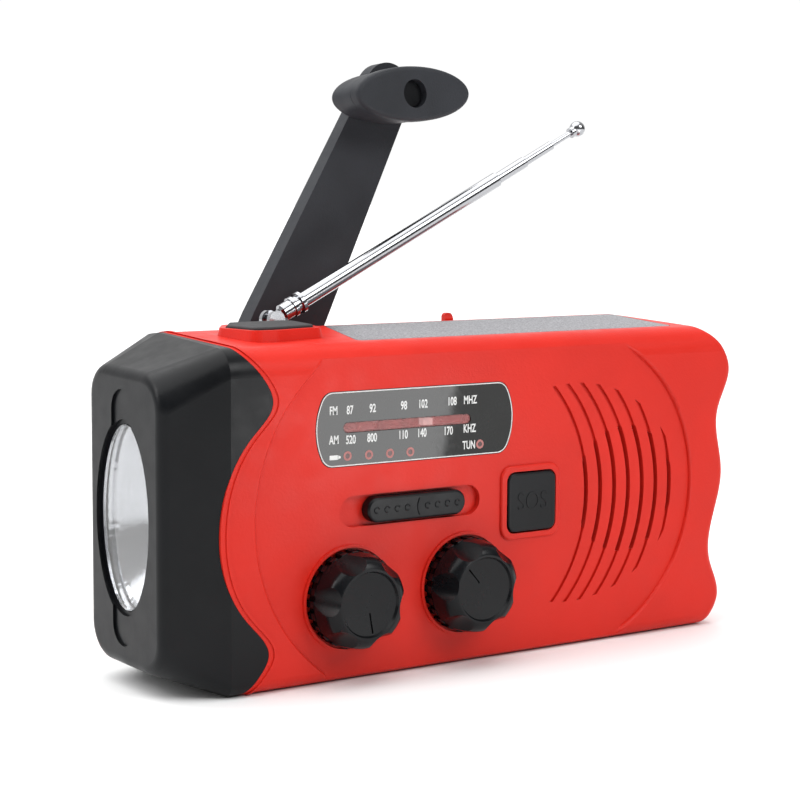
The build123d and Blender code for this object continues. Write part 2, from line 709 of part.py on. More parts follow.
def hinge_pin_solid(radius):
    pin = along_x(Circle(radius), -ARM_WIDTH / 2 - 2.3, ARM_WIDTH / 2 + 2.3)
    return Pos(CRANK[0], PIVOT_Y, CRANK[1]) * Rot(0, CRANK_LEAN, 0) * pin


def crank_arm():
    """A flat arm that tapers in thickness from the hinge to the rounded tip."""
    half, top = ARM_WIDTH / 2, ARM_LENGTH + 1.9
    end = top + ARM_TIP + 1
    side = [(ARM_FRONT, 0), (ARM_FRONT, end), (0.7, end), (ARM_REAR, 8), (ARM_REAR, 0)]
    blade = along_x(Polygon(*side, align=None), -half - 1, half + 1)
    corners = [(-half, -4), (half, -4), (half + 0.3, 20), (ARM_TIP, top)]
    corners += [(-ARM_TIP, top), (-half - 0.3, 20)]
    plan = Polygon(*corners, align=None) + Pos(0, top) * Circle(ARM_TIP)
    blade &= along_y(plan, -5, 5)
    blade += along_x(Circle(-ARM_FRONT), -half, half)
    blade -= along_x(Circle(HINGE_PIN_R + FIT), -10, 10)
    blade -= disc((0, ARM_LENGTH), 1.5, -5, 5)
    return hub_place(blade)


def grip_outline(grow=0.0):
    shape = Ellipse(GRIP_HALF[0] + grow, GRIP_HALF[1] + grow)
    return Pos(0, ARM_LENGTH) * Rot(0, 0, -GRIP_TURN) * shape


def crank_grip():
    rear = ARM_FRONT - GAP
    body = along_y(grip_outline(-0.3), rear - GRIP_DEPTH + 3.0, rear)
    body = fillet(body.edges().group_by(Axis.Y)[-1], 0.8)
    body -= disc((0, ARM_LENGTH), GRIP_PIN_R + FIT, -20, 5)
    return hub_place(body)


def grip_cap():
    front = ARM_FRONT - GAP - GRIP_DEPTH
    cap = along_y(grip_outline(), front, front + 2.5)
    cap = fillet(cap.edges().group_by(Axis.Y)[0], 0.9)
    cap += along_y(grip_outline(-0.9), front + 2.5, front + 2.98)
    return hub_place(cap - disc((0, ARM_LENGTH), 2.8, -20, 5))


def grip_pin():
    """The pin that the grip turns on, fixed in the arm, with a head in the grip's hole."""
    front = ARM_FRONT - GAP - GRIP_DEPTH
    head = disc((0, ARM_LENGTH), 2.5, front + 1.4, front + 2.4)
    shank = disc((0, ARM_LENGTH), GRIP_PIN_R, front + 2.4, ARM_FRONT)
    tail = disc((0, ARM_LENGTH), 1.48, ARM_FRONT, 1.0)
    return hub_place(head + shank + tail)


# ---- gears and generator ----
def crank_gear():
    return gear(CRANK, CRANK_TEETH, CRANK_MODULE, IDLER_ANGLE, 10.9, 13.0, HUB_SHAFT_R + 0.01)


def idler_gear():
    small_phase = IDLER_ANGLE + 180 + 180 / IDLER_SMALL
    small = gear(IDLER, IDLER_SMALL, CRANK_MODULE, small_phase, *SMALL_GEAR_Y, AXLE_R + FIT)
    large = gear(IDLER, IDLER_LARGE, ROTOR_MODULE, 0.0, *LARGE_GEAR_Y, AXLE_R + FIT)
    return small + large


def idler_axle():
    return disc(IDLER, AXLE_R, 7.6, 13.9)


def rotor_pinion():
    phase = 180 + 180 / ROTOR_TEETH
    return gear(ROTOR, ROTOR_TEETH, ROTOR_MODULE, phase, 8.6, 10.8, ROTOR_SHAFT_R + 0.01)


def rotor():
    """The magnet ring and shaft that turn inside the generator."""
    return disc(ROTOR, ROTOR_SHAFT_R, -0.2, 10.8) + disc(ROTOR, 5.6, 1.2, 5.8)


def generator_case():
    """The can and its windings, with room for the rotor inside."""
    can = disc(ROTOR, CASE_R, -0.9, 8.0) - disc(ROTOR, 6.2, 0.4, 6.6)
    return can - disc(ROTOR, ROTOR_SHAFT_R + FIT, -0.3, 10)


def gear_plate():
    """The plate that carries the idler axle and the generator, screwed to the rear shell."""
    plate = block((IDLER[0] - 4.0, 6.9, 30.0), (IDLER[0] + 2.0, 8.3, 44.0))
    return plate - disc(ROTOR, CASE_R + FIT, 0, 20) - disc(IDLER, AXLE_R, 7.6, 9)


# ---- antenna ----
def antenna_place(local):
    """Turn a solid drawn along +X from the pivot into the antenna's rest pose."""
    return Pos(ANTENNA_X, ANTENNA_Y, ANTENNA_Z) * Rot(0, -ANTENNA_TILT, 0) * local


def turned(steps):
    """A round bar along X from (start, end, radius) steps."""
    bar = along_x(Circle(steps[0][2]), steps[0][0], steps[0][1])
    for start, end, radius in steps[1:]:
        bar += along_x(Circle(radius), start, end)
    return bar


def antenna_foot():
    """The swivelling fork and the screw shank that holds it in the top."""
    shank = post((ANTENNA_X, ANTENNA_Y), 1.2, 55.0, FOOT_SEAT + 0.4)
    nut = post((ANTENNA_X, ANTENNA_Y), 1.85, 55.0, 57.6)
    base = post((ANTENNA_X, ANTENNA_Y), 3.4, FOOT_SEAT + 0.1, ANTENNA_Z - 1.75)
    cheeks = block((-1.7, -1.9, -1.8), (1.7, 1.9, 0)) + along_y(Circle(1.7), -1.9, 1.9)
    cheeks -= block((-5, -0.9, -1.3), (5, 0.9, 5))
    fork = Pos(ANTENNA_X, ANTENNA_Y, ANTENNA_Z) * cheeks
    foot = shank + nut + base + fork
    return foot - antenna_pin_solid(ANTENNA_PIN_R + 0.01)


def antenna_pin_solid(radius):
    return disc((ANTENNA_X, ANTENNA_Z), radius, ANTENNA_Y - 1.85, ANTENNA_Y + 1.85)


def antenna_knuckle():
    """The flat eye on the pin, and the collar that the first tube is pressed into."""
    eye = along_y(Circle(1.1), -0.8, 0.8) + block((0, -0.8, -0.9), (2.6, 0.8, 0.9))
    eye -= along_y(Circle(ANTENNA_PIN_R + FIT), -1, 1)
    collar = turned([(2.4, 4.6, 1.7), (4.6, 5.3, 2.0), (5.3, 6.4, 1.6), (6.4, 7.1, 2.1)])
    return antenna_place(eye + collar)


def antenna_tube(start, end, outer, bore):
    tube = along_x(Circle(outer), start, end)
    tube = chamfer(tube.edges().group_by(Axis.X)[-1], 0.12)
    return antenna_place(tube - along_x(Circle(bore), start + 0.5, end + 1))


def antenna_tubes():
    bores = [radius + 0.06 for radius in (*TUBE_RADII[1:], ROD_R)]
    starts = (7.1, 9.0 + 7.5, 11.0 + 14.5)
    return [antenna_tube(*sizes) for sizes in zip(starts, SECTION_ENDS, TUBE_RADII, bores)]


def antenna_rod():
    rod = along_x(Circle(ROD_R), 34.0, BALL_AT)
    return antenna_place(rod + Pos(BALL_AT, 0, 0) * Sphere(1.6) + along_x(Circle(1.1), 79.2, 80.2))


# ---- port cover and screws ----
def port_cover():
    """A rubber flap that closes the socket, with a low pad on its inner side and a hinge barrel."""
    above_hinge = Pos(PORT[0], FLAP_HINGE[1] + 10) * Rectangle(20, 20)
    flap = along_y(port_outline(-0.15) & above_hinge, REAR - 1.0, REAR - 0.1)
    pad = along_y(Pos(*PORT) * Rectangle(9.0, 3.4), 14.5, REAR - 0.9)
    barrel = along_x(Pos(*FLAP_HINGE) * Circle(0.25), PORT[0] - 4.5, PORT[0] + 4.5)
    return flap + pad + barrel


def shell_screws():
    screws = []
    for place in screw_places():
        screws.append(disc(place, 2.4, REAR - 1.15, REAR - 0.2) + disc(place, 0.88, 2.4, REAR - 1.15))
    return screws


def board_screws():
    screws = []
    for place in board_screw_places():
        screws.append(disc(place, 1.6, BOARD_REAR + 0.02, BOARD_REAR + 1.0))
    return screws


def nodes():
    first, second, third = antenna_tubes()
    return {
        "front_shell": front_shell(),
        "rear_shell": rear_shell(),
        "torch_head": torch_head(),
        "torch_lens": lens(),
        "reflector": reflector(),
        "led_board": led_board(),
        "torch_led": torch_led(),
        "solar_glass": solar_glass(),
        "solar_cells": solar_cells(),
        "torch_button": torch_button(),
        "torch_switch": torch_switch(),
        "torch_switch_board": torch_switch_board(),
        "dial_window": dial_window(),
        "dial_plate": dial_plate(),
        "dial_pointer": dial_pointer(),
        "dial_leds": Compound(dial_leds()),
        "volume_knob": knob(VOLUME, 172.0),
        "volume_shaft": control_shaft(VOLUME, -6.0, TUNER_SHAFT_R),
        "volume_control": control_body(VOLUME, 11.0, -12.0),
        "tuning_knob": knob(TUNING, -42.0),
        "tuning_shaft": control_shaft(TUNING, -1.4, TUNER_SHAFT_R),
        "tuning_capacitor": control_body(TUNING, 14.0, -12.5),
        "tuning_pinion": tuning_pinion(),
        "band_slider": band_slider(),
        "band_switch": band_switch(),
        "sos_button": sos_button(),
        "sos_switch": sos_switch(),
        "speaker_frame": speaker_frame(),
        "speaker_cone": speaker_cone(),
        "speaker_magnet": speaker_magnet(),
        "main_board": main_board(),
        "board_screws": Compound(board_screws()),
        "battery_cell": battery_cell(),
        "battery_holder": battery_holder(),
        "ferrite_rod": ferrite_rod(),
        "ferrite_coil": ferrite_coil(),
        "usb_socket": usb_socket(),
        "port_cover": port_cover(),
        "crank_bush": crank_bush(),
        "crank_hub": crank_hub(),
        "crank_gear": crank_gear(),
        "hinge_pin": hinge_pin_solid(HINGE_PIN_R),
        "crank_arm": crank_arm(),
        "grip_pin": grip_pin(),
        "crank_grip": crank_grip(),
        "grip_cap": grip_cap(),
        "idler_gear": idler_gear(),
        "idler_axle": idler_axle(),
        "rotor_pinion": rotor_pinion(),
        "generator_rotor": rotor(),
        "generator_case": generator_case(),
        "gear_plate": gear_plate(),
        "antenna_foot": antenna_foot(),
        "antenna_pin": antenna_pin_solid(ANTENNA_PIN_R),
        "antenna_knuckle": antenna_knuckle(),
        "antenna_tube_1": first,
        "antenna_tube_2": second,
        "antenna_tube_3": third,
        "antenna_rod": antenna_rod(),
        "shell_screws": Compound(shell_screws()),
    }


os.makedirs("parts", exist_ok=True)
for name, solid in nodes().items():
    export_step(solid, f"parts/{name}.step")
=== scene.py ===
import json
import math

import bmesh
import bpy
from mathutils import Matrix, Vector


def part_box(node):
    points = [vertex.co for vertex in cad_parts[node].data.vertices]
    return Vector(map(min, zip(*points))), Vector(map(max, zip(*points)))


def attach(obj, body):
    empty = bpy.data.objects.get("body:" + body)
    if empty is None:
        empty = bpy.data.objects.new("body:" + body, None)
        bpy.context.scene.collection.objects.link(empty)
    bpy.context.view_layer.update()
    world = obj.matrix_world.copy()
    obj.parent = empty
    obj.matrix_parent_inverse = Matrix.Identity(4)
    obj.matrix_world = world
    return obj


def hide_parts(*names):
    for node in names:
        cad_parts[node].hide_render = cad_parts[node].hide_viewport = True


# The looks of the emergency radio. Metres, in the row frame:
# +Z up, the face with the dial looks along -Y.

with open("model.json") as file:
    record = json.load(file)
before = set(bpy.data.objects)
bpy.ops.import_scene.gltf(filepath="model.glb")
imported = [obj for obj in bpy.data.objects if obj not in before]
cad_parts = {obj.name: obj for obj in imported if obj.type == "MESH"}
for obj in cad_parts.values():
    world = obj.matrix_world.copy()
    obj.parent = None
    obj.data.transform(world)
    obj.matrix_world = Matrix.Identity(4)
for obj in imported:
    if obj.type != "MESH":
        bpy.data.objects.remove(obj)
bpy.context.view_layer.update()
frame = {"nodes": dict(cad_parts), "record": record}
NODES = frame["nodes"]
MM = 0.001


# ---- places taken from the frame ----
def centre(node):
    low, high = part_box(node)
    return (low + high) / 2


def size(node):
    low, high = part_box(node)
    return high - low


WINDOW = centre("dial_window")
WINDOW_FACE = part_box("dial_window")[0].y
SLIDER = centre("band_slider")
SLIDER_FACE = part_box("band_slider")[0].y
SOS = centre("sos_button")
SOS_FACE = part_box("sos_button")[0].y


# ---- node trees ----
def node(tree, kind, **settings):
    made = tree.nodes.new(kind)
    for name, value in settings.items():
        setattr(made, name, value)
    return made


def grain(tree, across, detail=2.0, stretch=(1.0, 1.0, 1.0)):
    """Noise whose features are about that many metres across."""
    place = node(tree, "ShaderNodeTexCoord")
    mapping = node(tree, "ShaderNodeMapping")
    mapping.inputs["Scale"].default_value = [1 / (across * s) for s in stretch]
    noise = node(tree, "ShaderNodeTexNoise")
    noise.inputs["Scale"].default_value = 1.0
    noise.inputs["Detail"].default_value = detail
    tree.links.new(place.outputs["Object"], mapping.inputs["Vector"])
    tree.links.new(mapping.outputs["Vector"], noise.inputs["Vector"])
    return noise.outputs["Fac"]


def spread(tree, value, low, high, start=0.35, stop=0.65):
    """A noise value between start and stop, stretched to low and high."""
    ranged = node(tree, "ShaderNodeMapRange")
    ranged.inputs["From Min"].default_value = start
    ranged.inputs["From Max"].default_value = stop
    ranged.inputs["To Min"].default_value = low
    ranged.inputs["To Max"].default_value = high
    tree.links.new(value, ranged.inputs["Value"])
    return ranged.outputs["Result"]


def mixed(tree, share, first, second):
    """A colour between two, by a 0 to 1 share. Each colour is three numbers or a socket."""
    mix = node(tree, "ShaderNodeMix", data_type="RGBA")
    tree.links.new(share, mix.inputs["Factor"])
    for name, colour in (("A", first), ("B", second)):
        socket = [i for i in mix.inputs if i.name == name and i.type == "RGBA"][0]
        if isinstance(colour, bpy.types.NodeSocket):
            tree.links.new(colour, socket)
        else:
            socket.default_value = (*colour, 1)
    return [o for o in mix.outputs if o.type == "RGBA"][0]


def bumped(tree, height, depth, before=None):
    """A normal from a height of that many metres, on top of another normal."""
    bump = node(tree, "ShaderNodeBump")
    bump.inputs["Distance"].default_value = depth
    bump.inputs["Strength"].default_value = 1.0
    tree.links.new(height, bump.inputs["Height"])
    if before is not None:
        tree.links.new(before, bump.inputs["Normal"])
    return bump.outputs["Normal"]


def new_material(name):
    material = bpy.data.materials.new(name)
    material.use_nodes = True
    return material, material.node_tree, material.node_tree.nodes["Principled BSDF"]


def surface(name, colour, rough, tone, patch, rough_spread, texture, **shader_values):
    """A material with an uneven tone and roughness, and a bump for each (size, depth) in texture."""
    material, tree, shader = new_material(name)
    share = spread(tree, grain(tree, patch, 3.0), 0, 1)
    dark = [c * (1 - tone) for c in colour]
    light = [min(1, c * (1 + tone)) for c in colour]
    tree.links.new(mixed(tree, share, dark, light), shader.inputs["Base Color"])
    uneven = grain(tree, patch / 4, 3.0)
    roughness = spread(tree, uneven, rough - rough_spread, rough + rough_spread)
    tree.links.new(roughness, shader.inputs["Roughness"])
    normal = None
    for across, depth in texture:
        normal = bumped(tree, grain(tree, across, 1.5), depth, normal)
    tree.links.new(normal, shader.inputs["Normal"])
    for socket, value in shader_values.items():
        shader.inputs[socket.replace("_", " ")].default_value = value
    return material


# ---- materials, one for each material slot of the record ----
def red_plastic():
    return surface("red_plastic", (0.60, 0.021, 0.012), 0.40, 0.05, 0.02, 0.06,
                   [(0.00045, 0.00003), (0.0002, 0.00001)], Specular_IOR_Level=0.16)


def black_plastic(name="black_plastic", rough=0.33, depth=0.000006):
    return surface(name, (0.004, 0.0045, 0.0055), rough, 0.15, 0.015, 0.05,
                   [(0.0003, depth)], Specular_IOR_Level=0.18)


def arm_plastic():
    return surface("arm_plastic", (0.022, 0.024, 0.029), 0.55, 0.12, 0.01, 0.05,
                   [(0.00035, 0.00002), (0.0011, 0.000012)], Specular_IOR_Level=0.25)


def black_rubber():
    return surface("black_rubber", (0.030, 0.029, 0.031), 0.75, 0.15, 0.006, 0.06,
                   [(0.0004, 0.00004)])


def clear_plastic():
    return surface("clear_plastic", (0.95, 0.96, 0.97), 0.04, 0.01, 0.01, 0.02,
                   [(0.006, 0.00001)], Transmission_Weight=1.0, IOR=1.45)


def dial_tint():
    return surface("dial_tint", (0.009, 0.0095, 0.009), 0.06, 0.1, 0.004, 0.02,
                   [(0.01, 0.000004)], Specular_IOR_Level=0.3)


def dial_print():
    return surface("dial_print", (0.02, 0.02, 0.02), 0.4, 0.1, 0.004, 0.05,
                   [(0.0003, 0.000004)])


# The emission is painted light: the pointer's end glows so that it stays bright behind the slot film.
def pointer_paint():
    return surface("pointer_paint", (0.85, 0.80, 0.77), 0.4, 0.04, 0.003, 0.05, [(0.0004, 0.000006)],
                   Emission_Color=(0.9, 0.88, 0.86, 1), Emission_Strength=0.6)


def white_ink():
    return surface("white_ink", (0.68, 0.69, 0.68), 0.5, 0.04, 0.0015, 0.05, [(0.0002, 0.000002)])


def indicator():
    return surface("indicator", (0.05, 0.006, 0.006), 0.3, 0.1, 0.002, 0.05, [(0.0004, 0.000004)])


def pink_ink():
    return surface("pink_ink", (0.38, 0.13, 0.12), 0.5, 0.1, 0.0008, 0.05, [(0.0002, 0.000002)])


def slot_film():
    material = surface("slot_film", (0.46, 0.13, 0.125), 0.35, 0.12, 0.002, 0.05, [(0.0008, 0.000002)])
    material.node_tree.nodes["Principled BSDF"].inputs["Alpha"].default_value = 0.45
    return material


def mirror_plastic():
    return surface("mirror_plastic", (0.40, 0.405, 0.42), 0.17, 0.02, 0.004, 0.03,
                   [(0.006, 0.00002)], Metallic=1.0)


def led():
    return surface("led", (0.92, 0.88, 0.60), 0.2, 0.05, 0.001, 0.05,
                   [(0.0003, 0.000003)], Coat_Weight=0.8)


def circuit_board():
    material, tree, shader = new_material("circuit_board")
    tracks = node(tree, "ShaderNodeTexVoronoi", feature="DISTANCE_TO_EDGE", distance="CHEBYCHEV")
    tracks.inputs["Scale"].default_value = 260
    place = node(tree, "ShaderNodeTexCoord")
    tree.links.new(place.outputs["Object"], tracks.inputs["Vector"])
    share = spread(tree, tracks.outputs["Distance"], 0, 1, 0.04, 0.06)
    colour = mixed(tree, share, (0.05, 0.25, 0.08), (0.012, 0.11, 0.035))
    tree.links.new(colour, shader.inputs["Base Color"])
    tree.links.new(spread(tree, grain(tree, 0.001), 0.3, 0.42), shader.inputs["Roughness"])
    tree.links.new(bumped(tree, share, 0.00003), shader.inputs["Normal"])
    return material


def solar_glass():
    """A textured cover with a fine grey speckle over the dark cells."""
    material, tree, shader = new_material("solar_glass")
    speckle = spread(tree, grain(tree, 0.00035, 1.0), 0, 1, 0.38, 0.66)
    base = mixed(tree, speckle, (0.08, 0.078, 0.09), (0.30, 0.295, 0.32))
    tree.links.new(base, shader.inputs["Base Color"])
    tree.links.new(spread(tree, grain(tree, 0.0006), 0.36, 0.5), shader.inputs["Roughness"])
    tree.links.new(bumped(tree, grain(tree, 0.00045, 1.0), 0.00003), shader.inputs["Normal"])
    shader.inputs["Coat Weight"].default_value = 0.3
    shader.inputs["Coat Roughness"].default_value = 0.35
    return material


def solar_cell():
    return surface("solar_cell", (0.02, 0.022, 0.045), 0.25, 0.3, 0.003, 0.05, [(0.0005, 0.000004)])


def chrome():
    """Plated tube with a faint unevenness."""
    return surface("chrome", (0.36, 0.365, 0.38), 0.13, 0.02, 0.006, 0.03,
                   [(0.0022, 0.0000015)], Metallic=1.0)


def steel():
    return surface("steel", (0.56, 0.56, 0.57), 0.3, 0.06, 0.004, 0.08,
                   [(0.0003, 0.000003)], Metallic=1.0)


def gear_plastic():
    return surface("gear_plastic", (0.80, 0.78, 0.70), 0.45, 0.04, 0.004, 0.05, [(0.0005, 0.000006)])


def component_plastic():
    return surface("component_plastic", (0.05, 0.05, 0.055), 0.5, 0.1, 0.003, 0.06, [(0.0004, 0.00001)])


def cell_sleeve():
    return surface("cell_sleeve", (0.03, 0.14, 0.42), 0.25, 0.06, 0.01, 0.06, [(0.004, 0.00003)])


def ferrite():
    return surface("ferrite", (0.045, 0.045, 0.048), 0.6, 0.2, 0.003, 0.08, [(0.0006, 0.00003)])


def copper_winding():
    """Fine turns of enamelled wire round a rod that lies along X."""
    material, tree, shader = new_material("copper_winding")
    place = node(tree, "ShaderNodeTexCoord")
    turns = node(tree, "ShaderNodeTexWave", wave_type="BANDS", bands_direction="X")
    turns.inputs["Scale"].default_value = 900
    turns.inputs["Distortion"].default_value = 0.4
    tree.links.new(place.outputs["Object"], turns.inputs["Vector"])
    colour = mixed(tree, turns.outputs["Fac"], (0.35, 0.10, 0.03), (0.78, 0.33, 0.12))
    tree.links.new(colour, shader.inputs["Base Color"])
    tree.links.new(bumped(tree, turns.outputs["Fac"], 0.0001), shader.inputs["Normal"])
    shader.inputs["Metallic"].default_value = 0.8
    shader.inputs["Roughness"].default_value = 0.3
    return material


def paper_cone():
    return surface("paper_cone", (0.02, 0.02, 0.02), 0.8, 0.2, 0.002, 0.08, [(0.0006, 0.00005)])


SLOT_MATERIALS = {
    make.__name__: make()
    for make in (
        red_plastic, black_plastic, black_rubber, clear_plastic, dial_tint, dial_print, pointer_paint,
        indicator, mirror_plastic, led, circuit_board, solar_glass, solar_cell, chrome, steel,
        gear_plastic, component_plastic, cell_sleeve, ferrite, copper_winding, paper_cone,
    )
}
ARM = arm_plastic()
KNOB = black_plastic("knob_plastic", 0.24, 0.000002)
WHITE = white_ink()
PINK = pink_ink()
FILM = slot_film()


def paint_nodes():
    for part in frame["record"]["subparts"]:
        mesh = NODES[part["node"]].data
        mesh.materials.clear()
        mesh.materials.append(SLOT_MATERIALS[part["material_slot"]])
    for name in ("crank_arm", "crank_grip", "grip_cap", "crank_hub"):
        NODES[name].data.materials[0] = ARM
    for name in ("volume_knob", "tuning_knob"):
        NODES[name].data.materials[0] = KNOB
    NODES["grip_pin"].data.materials[0] = SLOT_MATERIALS["black_plastic"]
    NODES["dial_pointer"].data.materials[0] = SLOT_MATERIALS["component_plastic"]


# ---- mesh helpers ----
def piece(name, mesh, material, body, smooth=True):
    """A finished mesh object that rides on a body and takes the material it is given."""
    made = bpy.data.objects.new(name, mesh)
    bpy.context.scene.collection.objects.link(made)
    mesh.materials.clear()
    mesh.materials.append(material)
    if smooth:
        mesh.shade_smooth()
        mesh.set_sharp_from_angle(angle=math.radians(40))
    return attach(made, body)


def mesh_of(source):
    """The mesh of a curve or text object, which is then removed."""
    bpy.context.view_layer.update()
    graph = bpy.context.evaluated_depsgraph_get()
    mesh = bpy.data.meshes.new_from_object(source.evaluated_get(graph))
    mesh.transform(source.matrix_world)
    data = source.data
    bpy.data.objects.remove(source)
    bpy.data.curves.remove(data)
    return mesh


def joined(meshes, name):
    whole = bmesh.new()
    for mesh in meshes:
        whole.from_mesh(mesh)
        bpy.data.meshes.remove(mesh)
    bmesh.ops.remove_doubles(whole, verts=whole.verts, dist=1e-7)
    made = bpy.data.meshes.new(name)
    whole.to_mesh(made)
    whole.free()
    return made


def facing_front(x, y, z):
    """A matrix that stands a flat drawing up, facing -Y, at that place."""
    return Matrix.Translation((x, y, z)) @ Matrix.Rotation(math.pi / 2, 4, "X")


def flat_shape(outlines, half_thickness, place, bevel=0.0):
    """A flat plate from closed outlines of (x, y) points; outlines inside others are holes."""
    curve = bpy.data.curves.new("flat", "CURVE")
    curve.dimensions = "2D"
    curve.fill_mode = "BOTH"
    curve.extrude = half_thickness - bevel
    curve.bevel_depth = bevel
    curve.bevel_resolution = 2
    for outline in outlines:
        spline = curve.splines.new("POLY")
        spline.points.add(len(outline) - 1)
        for point, (x, y) in zip(spline.points, outline):
            point.co = (x, y, 0, 1)
        spline.use_cyclic_u = True
    made = bpy.data.objects.new("flat", curve)
    bpy.context.scene.collection.objects.link(made)
    made.matrix_world = place
    return mesh_of(made)


def wire(points, radius, place, closed=False):
    """A round wire along points."""
    curve = bpy.data.curves.new("wire", "CURVE")
    curve.dimensions = "3D"
    curve.bevel_depth = radius
    curve.bevel_resolution = 3
    curve.use_fill_caps = not closed
    spline = curve.splines.new("POLY")
    spline.points.add(len(points) - 1)
    for point, co in zip(spline.points, points):
        point.co = (*co, 1) if len(co) == 3 else (*co, 0, 1)
    spline.use_cyclic_u = closed
    made = bpy.data.objects.new("wire", curve)
    bpy.context.scene.collection.objects.link(made)
    made.matrix_world = place
    return mesh_of(made)


def text_mesh(text, height, place, width=0.66, weight=0.022, thick=0.012 * MM, bevel=0.0):
    """Condensed bold capitals and digits, centred on the place."""
    curve = bpy.data.curves.new("text", "FONT")
    curve.body = text
    curve.align_x = "CENTER"
    curve.align_y = "CENTER"
    curve.size = height / 0.69
    curve.offset = weight * curve.size
    curve.extrude = thick
    curve.bevel_depth = bevel
    curve.resolution_u = 6
    made = bpy.data.objects.new("text", curve)
    bpy.context.scene.collection.objects.link(made)
    made.matrix_world = place @ Matrix.Scale(width, 4, (1, 0, 0))
    return mesh_of(made)


def arc(centre_at, radius, start, stop, steps):
    """Points on an arc, with the angles in degrees."""
    points = []
    for n in range(steps + 1):
        angle = math.radians(start + (stop - start) * n / steps)
        points.append((centre_at[0] + radius * math.cos(angle), centre_at[1] + radius * math.sin(angle)))
    return points


def stadium(middle, length, height, steps=12):
    radius = height / 2
    reach = length / 2 - radius
    right = arc((middle[0] + reach, middle[1]), radius, -90, 90, steps)
    return right + arc((middle[0] - reach, middle[1]), radius, 90, 270, steps)


def circle(middle, radius, steps=24):
    return arc(middle, radius, 0, 360, steps)[:-1]


# ---- dial ----
WINDOW_BOW = 2.0 * MM  # how far the ends of the window bow out
WINDOW_CORNER = 2.5 * MM


def dial_outline(shrink=0.0):
    """The window's outline round its centre: straight top and bottom, bowed ends, round corners."""
    box = size("dial_window") / 2
    half, height = box.x - shrink, box.z - shrink
    radius = (WINDOW_BOW ** 2 + height ** 2) / (2 * WINDOW_BOW)
    corner = WINDOW_CORNER - shrink
    rise = height - corner
    across = math.sqrt((radius - corner) ** 2 - rise ** 2)
    meet = math.degrees(math.atan2(rise, across))
    right = half - radius
    outline = arc((right + across, -rise), corner, -90, -meet, 8)
    outline += arc((right, 0), radius, -meet, meet, 16)[1:]
    outline += arc((right + across, rise), corner, meet, 90, 8)[1:]
    return outline + [(-x, -y) for x, y in outline]


SLOT_X = (-14.85 * MM) - WINDOW.x
SLOT_Z = (45.2 * MM) - WINDOW.z
SLOT_LENGTH = 27.8 * MM
SLOT_HEIGHT = 1.9 * MM
POINTER_X = -10.4
TIP_HALF = Vector((1.05, 0.6)) * MM


def dial_glass():
    """The smoked window with a clear slot through which the pointer is seen."""
    depth = size("dial_window").y
    slot = stadium((SLOT_X, SLOT_Z), SLOT_LENGTH, SLOT_HEIGHT)
    place = facing_front(WINDOW.x, WINDOW.y, WINDOW.z)
    mesh = flat_shape([dial_outline(), slot], depth / 2, place, 0.08 * MM)
    glass = piece("dial_glass", mesh, SLOT_MATERIALS["dial_tint"], "housing")
    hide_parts("dial_window")
    film = flat_shape([slot], 0.04 * MM,
                      facing_front(WINDOW.x, WINDOW_FACE + 0.25 * MM, WINDOW.z))
    piece("slot_film", film, FILM, "housing")
    rim = wire(dial_outline(0.12 * MM), 0.11 * MM,
               facing_front(WINDOW.x, WINDOW_FACE + 0.02 * MM, WINDOW.z), True)
    piece("dial_rim", rim, WHITE, "housing")


def pointer_tip():
    """The end of the pointer, which reaches forward into the window's slot; its paint glows with painted
    light.
    """
    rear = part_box("dial_pointer")[0].y
    tip_x = POINTER_X * MM
    front = WINDOW_FACE + 0.32 * MM
    outline = [(tip_x - TIP_HALF.x, -TIP_HALF.y), (tip_x + TIP_HALF.x, -TIP_HALF.y),
               (tip_x + TIP_HALF.x, TIP_HALF.y), (tip_x - TIP_HALF.x, TIP_HALF.y)]
    half = (rear - front) / 2
    place = facing_front(0, front + half, WINDOW.z + SLOT_Z)
    mesh = flat_shape([outline], half, place)
    piece("pointer_tip", mesh, SLOT_MATERIALS["pointer_paint"], "dial_pointer", False)


SCALE_TEXT = (
    ("FM", -30.8, 48.3), ("87", -27.4, 48.25), ("92", -22.6, 48.3), ("98", -15.9, 48.4),
    ("102", -11.75, 48.45), ("108", -5.3, 48.55), ("MHZ", -1.2, 48.6),
    ("AM", -30.7, 43.15), ("520", -27.2, 43.0), ("800", -22.7, 43.05), ("110", -16.05, 43.15),
    ("140", -11.95, 43.2), ("170", -6.1, 43.2), ("KHZ", -1.3, 43.35), ("TUN", -1.4, 40.3),
)
SCALE_HEIGHT = 1.45 * MM
INK_DEPTH = 0.012 * MM  # half the thickness of the print
RING_OUTER = 0.85 * MM
RING_INNER = 0.48 * MM
CELL_BODY = ((-31.6, 39.7), (-29.9, 39.7), (-29.9, 40.5), (-31.6, 40.5))
CELL_TIP = ((-29.8, 39.75), (-29.3, 39.95), (-29.3, 40.25), (-29.8, 40.45))
RINGS = ((-27.85, 40.2), (-23.35, 40.1), (-18.85, 40.05), (-14.45, 40.0), (1.1, 40.35))


